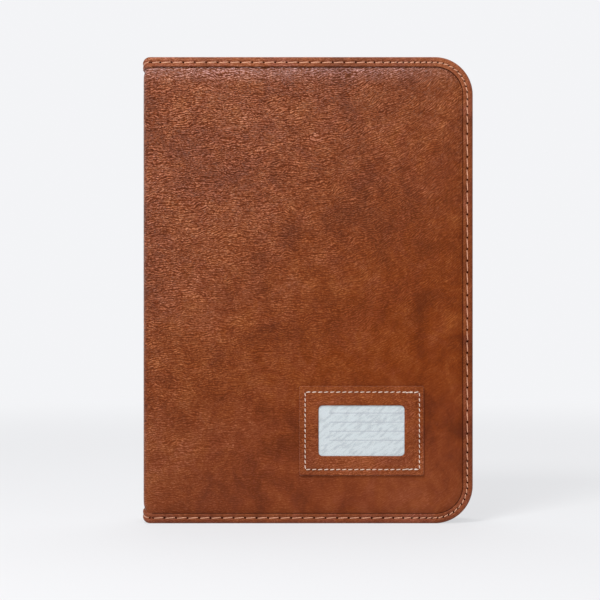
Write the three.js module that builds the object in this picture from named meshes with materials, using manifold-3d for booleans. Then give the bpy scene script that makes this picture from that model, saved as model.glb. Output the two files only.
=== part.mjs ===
// A certificate folder with a leather cover, a four-ring mechanism and clear sleeves, standing upright.
// Millimetres, +Z up. The front cover faces -Y, the spine is at -X.
// The origin is the middle of the folder's footprint.
import * as THREE from "three";
import { mergeVertices } from "three/addons/utils/BufferGeometryUtils.js";
import Module from "manifold-3d";

const wasm = await Module();
wasm.setup();

// Outside of the closed folder
const HEIGHT = 356;
const WIDTH = 252;
const SPINE_WIDTH = 36; // over the outer leather of both covers
const CORNER_RADIUS = 29;
const SPINE_SHORT = 2.5; // head and foot of the spine stand this far inside the covers' edges

// Layers of the covers and the spine
const LEATHER = 1.0;
const BOARD = 2.0;
const LINING = 0.6;
const GLUE = 0.05;
const HINGE_RADIUS = 5; // outside of the leather roll between a cover and the spine

// Edge binding
const BINDING_WIDTH = 8;
const BINDING_LEATHER = 0.7;
const BINDING_EDGE_RADIUS = 1.5;

// Card frame on the front cover
const FRAME_WIDTH = 95;
const FRAME_HEIGHT = 68;
const FRAME_RIGHT = 37.5; // from the fore-edge
const FRAME_BOTTOM = 36.8; // from the foot
const FRAME_LEATHER = 1.0;
const FRAME_CORNER = 1.2;
const APERTURE_WIDTH = 65.5;
const APERTURE_HEIGHT = 38.5;
const APERTURE_RADIUS = 3;
const CARD_WIDTH = 85;
const CARD_HEIGHT = 54;
const CARD_THICKNESS = 0.35;
const CARD_CORNER = 1;
const FILM_MARGIN = 1.5; // film beyond the card on each side
const FILM_THICKNESS = 0.25;

// Ring mechanism
const RINGS = 4;
const RING_PITCH = 80;
const RING_RADIUS = 10; // centreline
const WIRE_RADIUS = 1.1;
const RING_RISE = 9.8; // ring centre above the middle of the blades
const RING_ROOT_RISE = 1.7; // where the curved wire ends and its stud begins, above the same
const STUD_RADIUS = 1.2; // of the foot of a half ring, through its blade
const RING_GAP = 0.3; // between the tips of a closed ring
const TONGUE_RADIUS = 0.5;
const TONGUE_LENGTH = 0.5;
const TONGUE_CLEARANCE = 0.15;
const BLADE_THICKNESS = 1.0;
const BLADE_PIVOT = 8; // from the middle of the spine
const BLADE_CLEARANCE = 0.15; // between the two blades, each side of the middle
const BLADE_OVERHANG = 6; // beyond the outermost rings
const BLADE_BED = 1.6; // middle of the blades above the lining
const PEEN_RADIUS = 1.7; // swaged foot of each half ring under its blade
const PEEN_HEIGHT = 0.45;
const HOLE_CLEARANCE = 0.15;
const PLATE_HALF_WIDTH = 9.6;
const PLATE_HEIGHT = 5.6;
const PLATE_THICKNESS = 0.8;
const PLATE_OVERHANG = 13; // beyond the outermost rings
const PLATE_SEAT = 0.05; // between the plate's feet and the lining
const NOTCH_CLEARANCE = 0.8; // of a ring in the plate's notch
const NOTCH_FLOOR = 0.9; // the notch starts this far above the plate's feet
const NOTCH_START = 4; // and this far from the middle of the spine
const ARCH_FLATNESS = 0.55; // exponent of the arch's height, 1 for an ellipse
const ARCH_SHOULDER = 0.7; // exponent of its half width
const RIVET_FROM_MIDDLE = 80;
const RIVET_RADIUS = 1.9;
const RIVET_HEAD_RADIUS = 3.8;
const RIVET_HEAD_HEIGHT = 0.8; // clear of the innermost sleeve when it is turned out
const RIVET_CLEARANCE = 0.1;
const RIVET_FOOT_HEIGHT = 0.5;
const RIVET_FOOT_RADIUS = 3.5;
const BLADE_RELIEF = 1.0; // round each rivet
const LEVER_LENGTH = 15;
const LEVER_WIDTH = 10;
const LEVER_THICKNESS = 1.2;
const LEVER_RISE = 4.4; // of the finger tab above the middle of the blades
const LEVER_INSIDE = 5; // of the lever inside the end of the plate
const LEVER_RISE_START = 1; // the slope of the tab starts this far outside the plate
const LEVER_RISE_END = 11; // and ends here
const TRUNNION_INSIDE = 2; // axis of the lever, inside the end of the plate
const TRUNNION_RADIUS = 0.9;
const TRUNNION_GAP = 0.6; // between a trunnion's end and the plate's foot

// Clear sleeves
const SLEEVES = 5; // on each half of the rings
const SLEEVE_PITCH = 1.0;
const SLEEVE_THICKNESS = 0.5;
const SLEEVE_WIDTH = 227;
const SLEEVE_HEIGHT = 305;
const SLEEVE_CORNER = 3;
const HOLE_MARGIN = 9; // hole centre to sleeve edge
const HOLE_LENGTH = 12;
const HOLE_WIDTH = 6;
const HOLE_CORNER = 2.99;
const HOLE_FROM_RING = 9.4; // hole centre from ring centre
const SLEEVE_DROP = 1.4; // the sleeves hang this far down on the rings

// Facets
const ARC_STEPS = 12; // in a quarter turn of an outline
const ARC_DIVISIONS = ARC_STEPS / 2; // a THREE.Shape draws two facets for each division of an arc
const SMALL_DIVISIONS = 3; // the same, for the small corners
const SLOT_DIVISIONS = 4; // and for the sleeves' slots
const EDGE_STEPS = 4; // in the rounded edge of the binding and in a rivet's head
const RING_STEPS = 12;
const WIRE_SIDES = 8;
const STUD_SIDES = 12;
const RIVET_SIDES = 16;
const LEVER_SIDES = 24;
const ARCH_STEPS = 12;
const DRILL_LENGTH = 40; // of each cutter that goes right through

// Derived places
const STACK = LEATHER + GLUE + BOARD + GLUE + LINING;
const PROUD = BINDING_LEATHER + GLUE; // of the binding over the leather it holds
const FRAME_STACK = GLUE + CARD_THICKNESS + GLUE + FILM_THICKNESS + GLUE + FRAME_LEATHER;
const FOOTPRINT_SHIFT = (FRAME_STACK - PROUD) / 2; // brings the footprint's middle to the origin
const FORE_EDGE = WIDTH / 2;
const SPINE_FACE = -WIDTH / 2 + PROUD;
const COVER_FACE = SPINE_WIDTH / 2;
const COVER_START = SPINE_FACE + HINGE_RADIUS;
const SPINE_END = COVER_FACE - HINGE_RADIUS;
const LINING_FACE = SPINE_FACE + STACK;
const BLADE_X = LINING_FACE + BLADE_BED;
const RING_X = BLADE_X + RING_RISE;
const MIDDLE_Z = HEIGHT / 2;
const RING_END = ((RINGS - 1) * RING_PITCH) / 2;
const SLEEVE_LEFT = RING_X + HOLE_FROM_RING - HOLE_MARGIN;

const material = (color, roughness, metalness = 0) =>
  new THREE.MeshStandardMaterial({ color, roughness, metalness });
const LEATHER_FINISH = material(0x8a4526, 0.55);
const BINDING_FINISH = material(0x7d3d22, 0.5);
const BOARD_FINISH = material(0x9b9384, 0.95);
const LINING_FINISH = material(0x3a2a22, 0.8);
const FRAME_FINISH = material(0x93482a, 0.5);
const FILM_FINISH = material(0xdfe8ea, 0.1);
const CARD_FINISH = material(0xd3dfe4, 0.7);
const STEEL_FINISH = material(0xc9cbcd, 0.25, 1);
const SLEEVE_FINISH = material(0xd8dde0, 0.2);

// Solids and meshes
function solidOf(geometry) {
  const bare = geometry.clone();
  bare.deleteAttribute("normal");
  bare.deleteAttribute("uv");
  const merged = mergeVertices(bare, 1e-4);
  return new wasm.Manifold(
    new wasm.Mesh({
      numProp: 3,
      vertProperties: new Float32Array(merged.attributes.position.array),
      triVerts: new Uint32Array(merged.index.array),
    }),
  );
}

function geometryOf(solid) {
  const mesh = solid.getMesh();
  const geometry = new THREE.BufferGeometry();
  geometry.setAttribute("position", new THREE.BufferAttribute(mesh.vertProperties, 3));
  geometry.setIndex(new THREE.BufferAttribute(mesh.triVerts, 1));
  const flat = geometry.toNonIndexed();
  flat.computeVertexNormals();
  return flat;
}

const joined = (solids) => solids.reduce((sum, next) => sum.add(next));

function named(name, shape, finish) {
  const geometry = shape.isBufferGeometry ? shape : geometryOf(shape);
  const mesh = new THREE.Mesh(geometry, finish.clone());
  mesh.name = name;
  return mesh;
}

// An outline drawn in X and Z, made into a plate between two values of Y
function plateAcrossY(shape, yLow, yHigh, curveSegments = ARC_DIVISIONS) {
  const geometry = new THREE.ExtrudeGeometry(shape, { depth: 1, bevelEnabled: false, curveSegments });
  const p = geometry.attributes.position;
  for (let i = 0; i < p.count; i++) {
    p.setXYZ(i, p.getX(i), p.getZ(i) > 0.5 ? yLow : yHigh, p.getY(i));
  }
  return geometry;
}

// An outline drawn in X and Y, made into a bar between two values of Z
function barAlongZ(shape, zLow, zHigh, curveSegments = ARC_DIVISIONS) {
  const geometry = new THREE.ExtrudeGeometry(shape, { depth: 1, bevelEnabled: false, curveSegments });
  const p = geometry.attributes.position;
  for (let i = 0; i < p.count; i++) p.setZ(i, p.getZ(i) > 0.5 ? zHigh : zLow);
  return geometry;
}

// An outline drawn in Y and Z, made into a plate between two values of X
function plateAcrossX(shape, xLow, xHigh, curveSegments = ARC_DIVISIONS) {
  const geometry = new THREE.ExtrudeGeometry(shape, { depth: 1, bevelEnabled: false, curveSegments });
  const p = geometry.attributes.position;
  for (let i = 0; i < p.count; i++) {
    p.setXYZ(i, p.getZ(i) > 0.5 ? xHigh : xLow, p.getX(i), p.getY(i));
  }
  return geometry;
}

// A closed skin over loops of the same number of points, with flat ends
function loft(loops, capPoints) {
  const count = loops[0].length;
  const positions = loops.flat().flatMap((p) => [p.x, p.y, p.z]);
  const index = [];
  for (let k = 0; k + 1 < loops.length; k++) {
    for (let i = 0; i < count; i++) {
      const j = (i + 1) % count;
      const a = k * count;
      const b = a + count;
      index.push(a + i, a + j, b + j, a + i, b + j, b + i);
    }
  }
  const last = (loops.length - 1) * count;
  const turns = THREE.ShapeUtils.area(capPoints) > 0;
  for (const [a, b, c] of THREE.ShapeUtils.triangulateShape(capPoints, [])) {
    if (turns) index.push(a, c, b, last + a, last + b, last + c);
    else index.push(a, b, c, last + a, last + c, last + b);
  }
  const geometry = new THREE.BufferGeometry();
  geometry.setAttribute("position", new THREE.Float32BufferAttribute(positions, 3));
  geometry.setIndex(index);
  const flat = geometry.toNonIndexed();
  flat.computeVertexNormals();
  const solid = solidOf(flat);
  if (solid.volume() > 0) return flat;
  const p = flat.attributes.position;
  for (let i = 0; i < p.count; i += 3) {
    const [x, y, z] = [p.getX(i), p.getY(i), p.getZ(i)];
    p.setXYZ(i, p.getX(i + 1), p.getY(i + 1), p.getZ(i + 1));
    p.setXYZ(i + 1, x, y, z);
  }
  flat.computeVertexNormals();
  return flat;
}

function roundedRectangle(xLow, zLow, xHigh, zHigh, radius) {
  const shape = new THREE.Shape();
  shape.moveTo(xLow + radius, zLow);
  shape.lineTo(xHigh - radius, zLow);
  shape.absarc(xHigh - radius, zLow + radius, radius, -Math.PI / 2, 0);
  shape.lineTo(xHigh, zHigh - radius);
  shape.absarc(xHigh - radius, zHigh - radius, radius, 0, Math.PI / 2);
  shape.lineTo(xLow + radius, zHigh);
  shape.absarc(xLow + radius, zHigh - radius, radius, Math.PI / 2, Math.PI);
  shape.lineTo(xLow, zLow + radius);
  shape.absarc(xLow + radius, zLow + radius, radius, Math.PI, (3 * Math.PI) / 2);
  return shape;
}

const rectangle = (a, b, c, d) =>
  new THREE.Shape([
    new THREE.Vector2(a, b),
    new THREE.Vector2(c, b),
    new THREE.Vector2(c, d),
    new THREE.Vector2(a, d),
  ]);

// Covers
function coverOutline(inset) {
  const right = FORE_EDGE - inset;
  const radius = CORNER_RADIUS - inset;
  const shape = new THREE.Shape();
  shape.moveTo(COVER_START, inset);
  shape.lineTo(right - radius, inset);
  shape.absarc(right - radius, inset + radius, radius, -Math.PI / 2, 0);
  shape.lineTo(right, HEIGHT - inset - radius);
  shape.absarc(right - radius, HEIGHT - inset - radius, radius, 0, Math.PI / 2);
  shape.lineTo(COVER_START, HEIGHT - inset);
  return shape;
}

// The channel section of the binding: u runs in from the edge, v across the thickness
function bindingSection() {
  const outer = STACK / 2 + PROUD;
  const inner = STACK / 2 + GLUE;
  const r = BINDING_EDGE_RADIUS;
  const points = [new THREE.Vector2(BINDING_WIDTH, -outer + BINDING_LEATHER / 3)];
  points.push(new THREE.Vector2(BINDING_WIDTH - BINDING_LEATHER / 3, -outer));
  for (let k = 0; k <= EDGE_STEPS; k++) {
    const a = (k / EDGE_STEPS) * (Math.PI / 2);
    points.push(new THREE.Vector2(r - r * Math.sin(a), -outer + r - r * Math.cos(a)));
  }
  for (let k = EDGE_STEPS; k >= 0; k--) {
    const a = (k / EDGE_STEPS) * (Math.PI / 2);
    points.push(new THREE.Vector2(r - r * Math.sin(a), outer - r + r * Math.cos(a)));
  }
  points.push(new THREE.Vector2(BINDING_WIDTH - BINDING_LEATHER / 3, outer));
  points.push(new THREE.Vector2(BINDING_WIDTH, outer - BINDING_LEATHER / 3));
  points.push(new THREE.Vector2(BINDING_WIDTH, inner));
  points.push(new THREE.Vector2(BINDING_LEATHER, inner));
  points.push(new THREE.Vector2(BINDING_LEATHER, -inner));
  points.push(new THREE.Vector2(BINDING_WIDTH, -inner));
  return points;
}

// Stations round three sides of a cover: a point of its outline and the direction out of it
function coverStations() {
  const stations = [{ x: COVER_START, z: 0, out: -Math.PI / 2 }];
  const centreX = FORE_EDGE - CORNER_RADIUS;
  for (const [centreZ, from] of [
    [CORNER_RADIUS, -Math.PI / 2],
    [HEIGHT - CORNER_RADIUS, 0],
  ]) {
    for (let k = 0; k <= ARC_STEPS; k++) {
      const out = from + (k / ARC_STEPS) * (Math.PI / 2);
      stations.push({
        x: centreX + CORNER_RADIUS * Math.cos(out),
        z: centreZ + CORNER_RADIUS * Math.sin(out),
        out,
      });
    }
  }
  stations.push({ x: COVER_START, z: HEIGHT, out: Math.PI / 2 });
  return stations;
}

function coverBinding(yMiddle) {
  const section = bindingSection();
  const loops = coverStations().map(({ x, z, out }) =>
    section.map((p) => new THREE.Vector3(x - p.x * Math.cos(out), yMiddle + p.y, z - p.x * Math.sin(out))),
  );
  return loft(loops, section);
}

// side is -1 for the front cover and 1 for the back cover
function coverPieces(prefix, side) {
  const inset = BINDING_LEATHER + GLUE;
  const layer = (from, thickness) => {
    const a = side * (COVER_FACE - from);
    const b = side * (COVER_FACE - from - thickness);
    return plateAcrossY(coverOutline(inset), Math.min(a, b), Math.max(a, b));
  };
  return [
    named(prefix + "_leather", layer(0, LEATHER), LEATHER_FINISH),
    named(prefix + "_board", layer(LEATHER + GLUE, BOARD), BOARD_FINISH),
    named(prefix + "_lining", layer(STACK - LINING, LINING), LINING_FINISH),
    named(prefix + "_binding", coverBinding(side * (COVER_FACE - STACK / 2)), BINDING_FINISH),
  ];
}

// Card frame, film and card on the front cover
function cardPieces() {
  const right = FORE_EDGE - FRAME_RIGHT;
  const middleX = right - FRAME_WIDTH / 2;
  const middleZ = FRAME_BOTTOM + FRAME_HEIGHT / 2;
  const centred = (width, height, radius) =>
    roundedRectangle(
      middleX - width / 2,
      middleZ - height / 2,
      middleX + width / 2,
      middleZ + height / 2,
      radius,
    );
  const cardBack = -COVER_FACE - GLUE;
  const cardFront = cardBack - CARD_THICKNESS;
  const filmBack = cardFront - GLUE;
  const filmFront = filmBack - FILM_THICKNESS;
  const frameBack = filmFront - GLUE;
  const frameFront = frameBack - FRAME_LEATHER;
  const filmWidth = CARD_WIDTH + 2 * FILM_MARGIN;
  const filmHeight = CARD_HEIGHT + 2 * FILM_MARGIN;
  const card = plateAcrossY(
    centred(CARD_WIDTH, CARD_HEIGHT, CARD_CORNER),
    cardFront,
    cardBack,
    SMALL_DIVISIONS,
  );
  const film = plateAcrossY(
    centred(filmWidth, filmHeight, CARD_CORNER),
    filmFront,
    filmBack,
    SMALL_DIVISIONS,
  );
  const frameOutline = centred(FRAME_WIDTH, FRAME_HEIGHT, FRAME_CORNER);
  const body = solidOf(plateAcrossY(frameOutline, frameFront, -COVER_FACE - GLUE));
  const aperture = centred(APERTURE_WIDTH, APERTURE_HEIGHT, APERTURE_RADIUS);
  const window = solidOf(plateAcrossY(aperture, frameFront - FRAME_LEATHER, -COVER_FACE));
  const clearance = centred(filmWidth + 2 * GLUE, filmHeight + 2 * GLUE, CARD_CORNER);
  const pocket = solidOf(plateAcrossY(clearance, frameBack, -COVER_FACE));
  return [
    named("name_card", card, CARD_FINISH),
    named("card_window", film, FILM_FINISH),
    named("card_frame", body.subtract(window).subtract(pocket), FRAME_FINISH),
  ];
}

// Spine panel
const rivetHole = (z) =>
  cylinderAcrossX(
    RIVET_RADIUS + RIVET_CLEARANCE,
    BLADE_X - DRILL_LENGTH / 2,
    BLADE_X + DRILL_LENGTH / 2,
    0,
    z,
    RIVET_SIDES,
  );

const rivetPlaces = [MIDDLE_Z - RIVET_FROM_MIDDLE, MIDDLE_Z + RIVET_FROM_MIDDLE];

function spinePieces() {
  const inset = SPINE_SHORT + BINDING_LEATHER + GLUE;
  const outline = rectangle(-SPINE_END, inset, SPINE_END, HEIGHT - inset);
  const layer = (from, thickness) =>
    plateAcrossX(outline, SPINE_FACE + from, SPINE_FACE + from + thickness);
  const drilled = (geometry) =>
    rivetPlaces.reduce((solid, z) => solid.subtract(rivetHole(z)), solidOf(geometry));
  const section = bindingSection();
  const xMiddle = SPINE_FACE + STACK / 2;
  const binding = (z, inward) =>
    loft(
      [-SPINE_END, SPINE_END].map((y) =>
        section.map((p) => new THREE.Vector3(xMiddle + p.y, y, z + inward * p.x)),
      ),
      section,
    );
  const underBoard = SPINE_FACE + LEATHER + GLUE;
  const footPockets = rivetPlaces.map((z) =>
    cylinderAcrossX(
      RIVET_FOOT_RADIUS + RIVET_CLEARANCE,
      underBoard,
      underBoard + RIVET_FOOT_HEIGHT + GLUE,
      0,
      z,
      RIVET_SIDES,
    ),
  );
  const board = footPockets.reduce(
    (solid, pocket) => solid.subtract(pocket),
    drilled(layer(LEATHER + GLUE, BOARD)),
  );
  return [
    named("spine_leather", layer(0, LEATHER), LEATHER_FINISH),
    named("spine_board", board, BOARD_FINISH),
    named("spine_lining", drilled(layer(STACK - LINING, LINING)), LINING_FINISH),
    named("spine_binding_bottom", binding(SPINE_SHORT, 1), BINDING_FINISH),
    named("spine_binding_top", binding(HEIGHT - SPINE_SHORT, -1), BINDING_FINISH),
  ];
}

// The leather roll at a corner of the spine: a thin web with a thicker band at head and foot
function hingeLeather(side) {
  const inside = HINGE_RADIUS - LEATHER - LINING - GLUE;
  const bandOutside = HINGE_RADIUS + PROUD;
  const bandInside = HINGE_RADIUS - STACK - PROUD;
  const loops = [];
  const section = (zLow, zHigh) => [
    new THREE.Vector2(bandInside, zLow),
    new THREE.Vector2(bandOutside, zLow),
    new THREE.Vector2(bandOutside, zLow + BINDING_WIDTH),
    new THREE.Vector2(HINGE_RADIUS, zLow + BINDING_WIDTH),
    new THREE.Vector2(HINGE_RADIUS, zHigh - BINDING_WIDTH),
    new THREE.Vector2(bandOutside, zHigh - BINDING_WIDTH),
    new THREE.Vector2(bandOutside, zHigh),
    new THREE.Vector2(bandInside, zHigh),
    new THREE.Vector2(bandInside, zHigh - BINDING_WIDTH),
    new THREE.Vector2(inside, zHigh - BINDING_WIDTH),
    new THREE.Vector2(inside, zLow + BINDING_WIDTH),
    new THREE.Vector2(bandInside, zLow + BINDING_WIDTH),
  ];
  const gap = GLUE / HINGE_RADIUS;
  for (let k = 0; k <= ARC_STEPS; k++) {
    const a = gap + (k / ARC_STEPS) * (Math.PI / 2 - 2 * gap);
    const short = GLUE + SPINE_SHORT * (1 - Math.cos(a));
    loops.push(
      section(short, HEIGHT - short).map(
        (p) =>
          new THREE.Vector3(
            COVER_START - p.x * Math.sin(a),
            side * (SPINE_END + p.x * Math.cos(a)),
            p.y,
          ),
      ),
    );
  }
  return loft(loops, section(GLUE, HEIGHT - GLUE));
}

// Rings. side is -1 for the half on the front cover's side
const ringPoint = (side, angle, z) =>
  new THREE.Vector3(
    RING_X + RING_RADIUS * Math.cos(angle),
    side * RING_RADIUS * Math.sin(angle),
    z,
  );

const ROOT_ANGLE = Math.acos((RING_ROOT_RISE - RING_RISE) / RING_RADIUS);
const STUD_Y = RING_RADIUS * Math.sin(ROOT_ANGLE);

function wireAlong(side, from, to, z, radius) {
  const loops = [];
  for (let k = 0; k <= RING_STEPS; k++) {
    const a = from + (k / RING_STEPS) * (to - from);
    const centre = ringPoint(side, a, z);
    const outward = new THREE.Vector3(Math.cos(a), side * Math.sin(a), 0);
    const loop = [];
    for (let i = 0; i < WIRE_SIDES; i++) {
      const t = (i / WIRE_SIDES) * 2 * Math.PI;
      loop.push(
        centre
          .clone()
          .addScaledVector(outward, radius * Math.cos(t))
          .add(new THREE.Vector3(0, 0, radius * Math.sin(t))),
      );
    }
    loops.push(loop);
  }
  const cap = loops[0].map((_, i) => {
    const t = (i / WIRE_SIDES) * 2 * Math.PI;
    return new THREE.Vector2(Math.cos(t), Math.sin(t));
  });
  return solidOf(loft(loops, cap));
}

function cylinderAcrossY(radius, yLow, yHigh, x, z, sides = STUD_SIDES) {
  const geometry = new THREE.CylinderGeometry(radius, radius, yHigh - yLow, sides);
  geometry.translate(x, (yLow + yHigh) / 2, z);
  return solidOf(geometry);
}

function cylinderAcrossX(radius, xLow, xHigh, y, z, sides = STUD_SIDES) {
  const geometry = new THREE.CylinderGeometry(radius, radius, xHigh - xLow, sides);
  geometry.rotateZ(Math.PI / 2);
  geometry.translate((xLow + xHigh) / 2, y, z);
  return solidOf(geometry);
}

function halfRing(side, z) {
  const tip = RING_GAP / 2 / RING_RADIUS;
  const underBlade = BLADE_X - BLADE_THICKNESS / 2 - GLUE;
  const wire = joined([
    wireAlong(side, tip, ROOT_ANGLE, z, WIRE_RADIUS),
    cylinderAcrossX(STUD_RADIUS, underBlade - PEEN_HEIGHT / 2, BLADE_X + RING_ROOT_RISE, side * STUD_Y, z),
    cylinderAcrossX(PEEN_RADIUS, underBlade - PEEN_HEIGHT, underBlade, side * STUD_Y, z),
  ]);
  const x = RING_X + RING_RADIUS;
  const reach = RING_GAP / 2 + TONGUE_LENGTH;
  if (side < 0) return wire.add(cylinderAcrossY(TONGUE_RADIUS, -WIRE_RADIUS, reach, x, z, WIRE_SIDES));
  const recess = TONGUE_RADIUS + TONGUE_CLEARANCE;
  const bottom = reach + TONGUE_CLEARANCE;
  return wire.subtract(cylinderAcrossY(recess, -WIRE_RADIUS, bottom, x, z, WIRE_SIDES));
}

const ringPlaces = Array.from({ length: RINGS }, (_, i) => MIDDLE_Z - RING_END + i * RING_PITCH);

function blade(side) {
  const length = RING_END + BLADE_OVERHANG;
  const outline = rectangle(
    Math.min(side * BLADE_PIVOT, side * BLADE_CLEARANCE),
    MIDDLE_Z - length,
    Math.max(side * BLADE_PIVOT, side * BLADE_CLEARANCE),
    MIDDLE_Z + length,
  );
  const low = BLADE_X - BLADE_THICKNESS / 2;
  let solid = solidOf(plateAcrossX(outline, low, low + BLADE_THICKNESS));
  const drill = (radius, y, z, sides) => {
    solid = solid.subtract(
      cylinderAcrossX(radius, low - BLADE_THICKNESS, low + 2 * BLADE_THICKNESS, y, z, sides),
    );
  };
  for (const z of ringPlaces) drill(STUD_RADIUS + HOLE_CLEARANCE, side * STUD_Y, z, STUD_SIDES);
  for (const z of rivetPlaces) drill(RIVET_RADIUS + BLADE_RELIEF, 0, z, RIVET_SIDES);
  return solid;
}

// The arched plate: an arc of constant thickness whose feet stand on the lining
function coverPlate() {
  const base = LINING_FACE + PLATE_SEAT;
  const arch = (half, height) => {
    const points = [];
    for (let k = 0; k <= ARCH_STEPS; k++) {
      const a = (k / ARCH_STEPS) * Math.PI;
      const c = Math.cos(a);
      const s = Math.sin(a);
      points.push(
        new THREE.Vector2(
          base + height * Math.abs(s) ** ARCH_FLATNESS,
          half * Math.sign(c) * Math.abs(c) ** ARCH_SHOULDER,
        ),
      );
    }
    return points;
  };
  const outside = arch(PLATE_HALF_WIDTH, PLATE_HEIGHT);
  const inside = arch(PLATE_HALF_WIDTH - PLATE_THICKNESS, PLATE_HEIGHT - PLATE_THICKNESS);
  const shape = new THREE.Shape([...outside, ...inside.reverse()]);
  const length = RING_END + PLATE_OVERHANG;
  let solid = solidOf(barAlongZ(shape, MIDDLE_Z - length, MIDDLE_Z + length));
  const gap = WIRE_RADIUS + NOTCH_CLEARANCE;
  for (const z of ringPlaces) {
    for (const side of [-1, 1]) {
      const notch = new THREE.BoxGeometry(PLATE_HEIGHT * 2, PLATE_HALF_WIDTH, 2 * gap);
      notch.translate(
        base + PLATE_HEIGHT + NOTCH_FLOOR,
        side * (NOTCH_START + PLATE_HALF_WIDTH / 2),
        z,
      );
      solid = solid.subtract(solidOf(notch));
    }
  }
  return rivetPlaces.reduce((sum, z) => sum.subtract(rivetHole(z)), solid);
}

// A rivet turned on its own axis, head on the plate and foot under the spine board
function rivet(z) {
  const crown = LINING_FACE + PLATE_SEAT + PLATE_HEIGHT + GLUE;
  const foot = SPINE_FACE + LEATHER + GLUE * 2;
  const points = [new THREE.Vector2(0, foot), new THREE.Vector2(RIVET_FOOT_RADIUS, foot)];
  points.push(new THREE.Vector2(RIVET_FOOT_RADIUS, foot + RIVET_FOOT_HEIGHT - GLUE));
  points.push(new THREE.Vector2(RIVET_RADIUS, foot + RIVET_FOOT_HEIGHT - GLUE));
  points.push(new THREE.Vector2(RIVET_RADIUS, crown));
  for (let k = 0; k <= EDGE_STEPS; k++) {
    const a = (k / EDGE_STEPS) * (Math.PI / 2);
    points.push(
      new THREE.Vector2(RIVET_HEAD_RADIUS * Math.cos(a), crown + RIVET_HEAD_HEIGHT * Math.sin(a)),
    );
  }
  points[points.length - 1].x = 0;
  const geometry = new THREE.LatheGeometry(points, RIVET_SIDES);
  geometry.rotateZ(-Math.PI / 2);
  geometry.translate(0, 0, z);
  return geometry;
}

// A lever: a tongue under the plate and a finger tab that slopes out of its end. end is 1 at the top
function lever(end) {
  const plateEnd = MIDDLE_Z + end * (RING_END + PLATE_OVERHANG);
  const profile = [
    [-LEVER_INSIDE, 0],
    [LEVER_RISE_START, 0],
    [LEVER_RISE_END, LEVER_RISE - LEVER_THICKNESS],
    [LEVER_LENGTH, LEVER_RISE - LEVER_THICKNESS / 2],
    [LEVER_LENGTH, LEVER_RISE + LEVER_THICKNESS / 2],
    [LEVER_RISE_END, LEVER_RISE],
    [LEVER_RISE_START, LEVER_THICKNESS],
    [-LEVER_INSIDE, LEVER_THICKNESS],
  ];
  const points = profile.map(
    ([along, up]) => new THREE.Vector2(BLADE_X - LEVER_THICKNESS / 2 + up, plateEnd + end * along),
  );
  const blank = solidOf(plateAcrossY(new THREE.Shape(points), -LEVER_WIDTH / 2, LEVER_WIDTH / 2));
  const tipZ = plateEnd + end * (LEVER_LENGTH - LEVER_WIDTH / 2);
  const round = new THREE.CylinderGeometry(LEVER_WIDTH / 2, LEVER_WIDTH / 2, DRILL_LENGTH, LEVER_SIDES);
  round.rotateZ(Math.PI / 2);
  round.translate(BLADE_X, 0, tipZ);
  const stem = new THREE.BoxGeometry(DRILL_LENGTH, LEVER_WIDTH, 2 * LEVER_LENGTH);
  stem.translate(BLADE_X, 0, tipZ - end * LEVER_LENGTH);
  const reach = PLATE_HALF_WIDTH - PLATE_THICKNESS - TRUNNION_GAP;
  const axisZ = plateEnd - end * TRUNNION_INSIDE;
  const trunnions = cylinderAcrossY(TRUNNION_RADIUS, -reach, reach, BLADE_X, axisZ);
  return blank.intersect(joined([solidOf(round), solidOf(stem)])).add(trunnions);
}

// Sleeves. The holes are slots, so a sleeve stays free on its ring while the ring opens
function slot(x, z) {
  const shape = roundedRectangle(
    x - HOLE_LENGTH / 2,
    z - HOLE_WIDTH / 2,
    x + HOLE_LENGTH / 2,
    z + HOLE_WIDTH / 2,
    HOLE_CORNER,
  );
  return new THREE.Path(shape.getPoints(SLOT_DIVISIONS));
}

function sleeve(side, index) {
  const low = MIDDLE_Z - SLEEVE_HEIGHT / 2 - SLEEVE_DROP;
  const shape = roundedRectangle(
    SLEEVE_LEFT,
    low,
    SLEEVE_LEFT + SLEEVE_WIDTH,
    low + SLEEVE_HEIGHT,
    SLEEVE_CORNER,
  );
  for (const z of ringPlaces) {
    shape.holes.push(slot(RING_X + HOLE_FROM_RING, z - SLEEVE_DROP));
  }
  const near = SLEEVE_PITCH * (index + 0.5) - SLEEVE_THICKNESS / 2;
  const a = side * near;
  const b = side * (near + SLEEVE_THICKNESS);
  return plateAcrossY(shape, Math.min(a, b), Math.max(a, b), SMALL_DIVISIONS);
}

// Assembly
const folder = new THREE.Group();
folder.position.y = FOOTPRINT_SHIFT;

const spine = new THREE.Group();
spine.add(...spinePieces());
spine.add(named("front_hinge_leather", hingeLeather(-1), LEATHER_FINISH));
spine.add(named("back_hinge_leather", hingeLeather(1), LEATHER_FINISH));
spine.add(named("ring_cover_plate", coverPlate(), STEEL_FINISH));
spine.add(named("rivet_bottom", rivet(rivetPlaces[0]), STEEL_FINISH));
spine.add(named("rivet_top", rivet(rivetPlaces[1]), STEEL_FINISH));

const frontCover = new THREE.Group();
frontCover.add(...coverPieces("front", -1), ...cardPieces());

const backCover = new THREE.Group();
backCover.add(...coverPieces("back", 1));

const rings = new THREE.Group();
for (const [prefix, side] of [
  ["front", -1],
  ["back", 1],
]) {
  rings.add(named(prefix + "_blade", blade(side), STEEL_FINISH));
  ringPlaces.forEach((z, i) => rings.add(named(`${prefix}_ring_${i + 1}`, halfRing(side, z), STEEL_FINISH)));
}
rings.add(named("top_lever", lever(1), STEEL_FINISH));
rings.add(named("bottom_lever", lever(-1), STEEL_FINISH));

const sleeves = new THREE.Group();
for (const [prefix, side] of [
  ["front", -1],
  ["back", 1],
]) {
  for (let i = 0; i < SLEEVES; i++) {
    sleeves.add(named(`${prefix}_sleeve_${i + 1}`, sleeve(side, i), SLEEVE_FINISH));
  }
}

folder.add(spine, frontCover, backCover, rings, sleeves);
const root = new THREE.Group();
root.add(folder);
export default root;
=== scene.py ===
import math
import random

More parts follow.
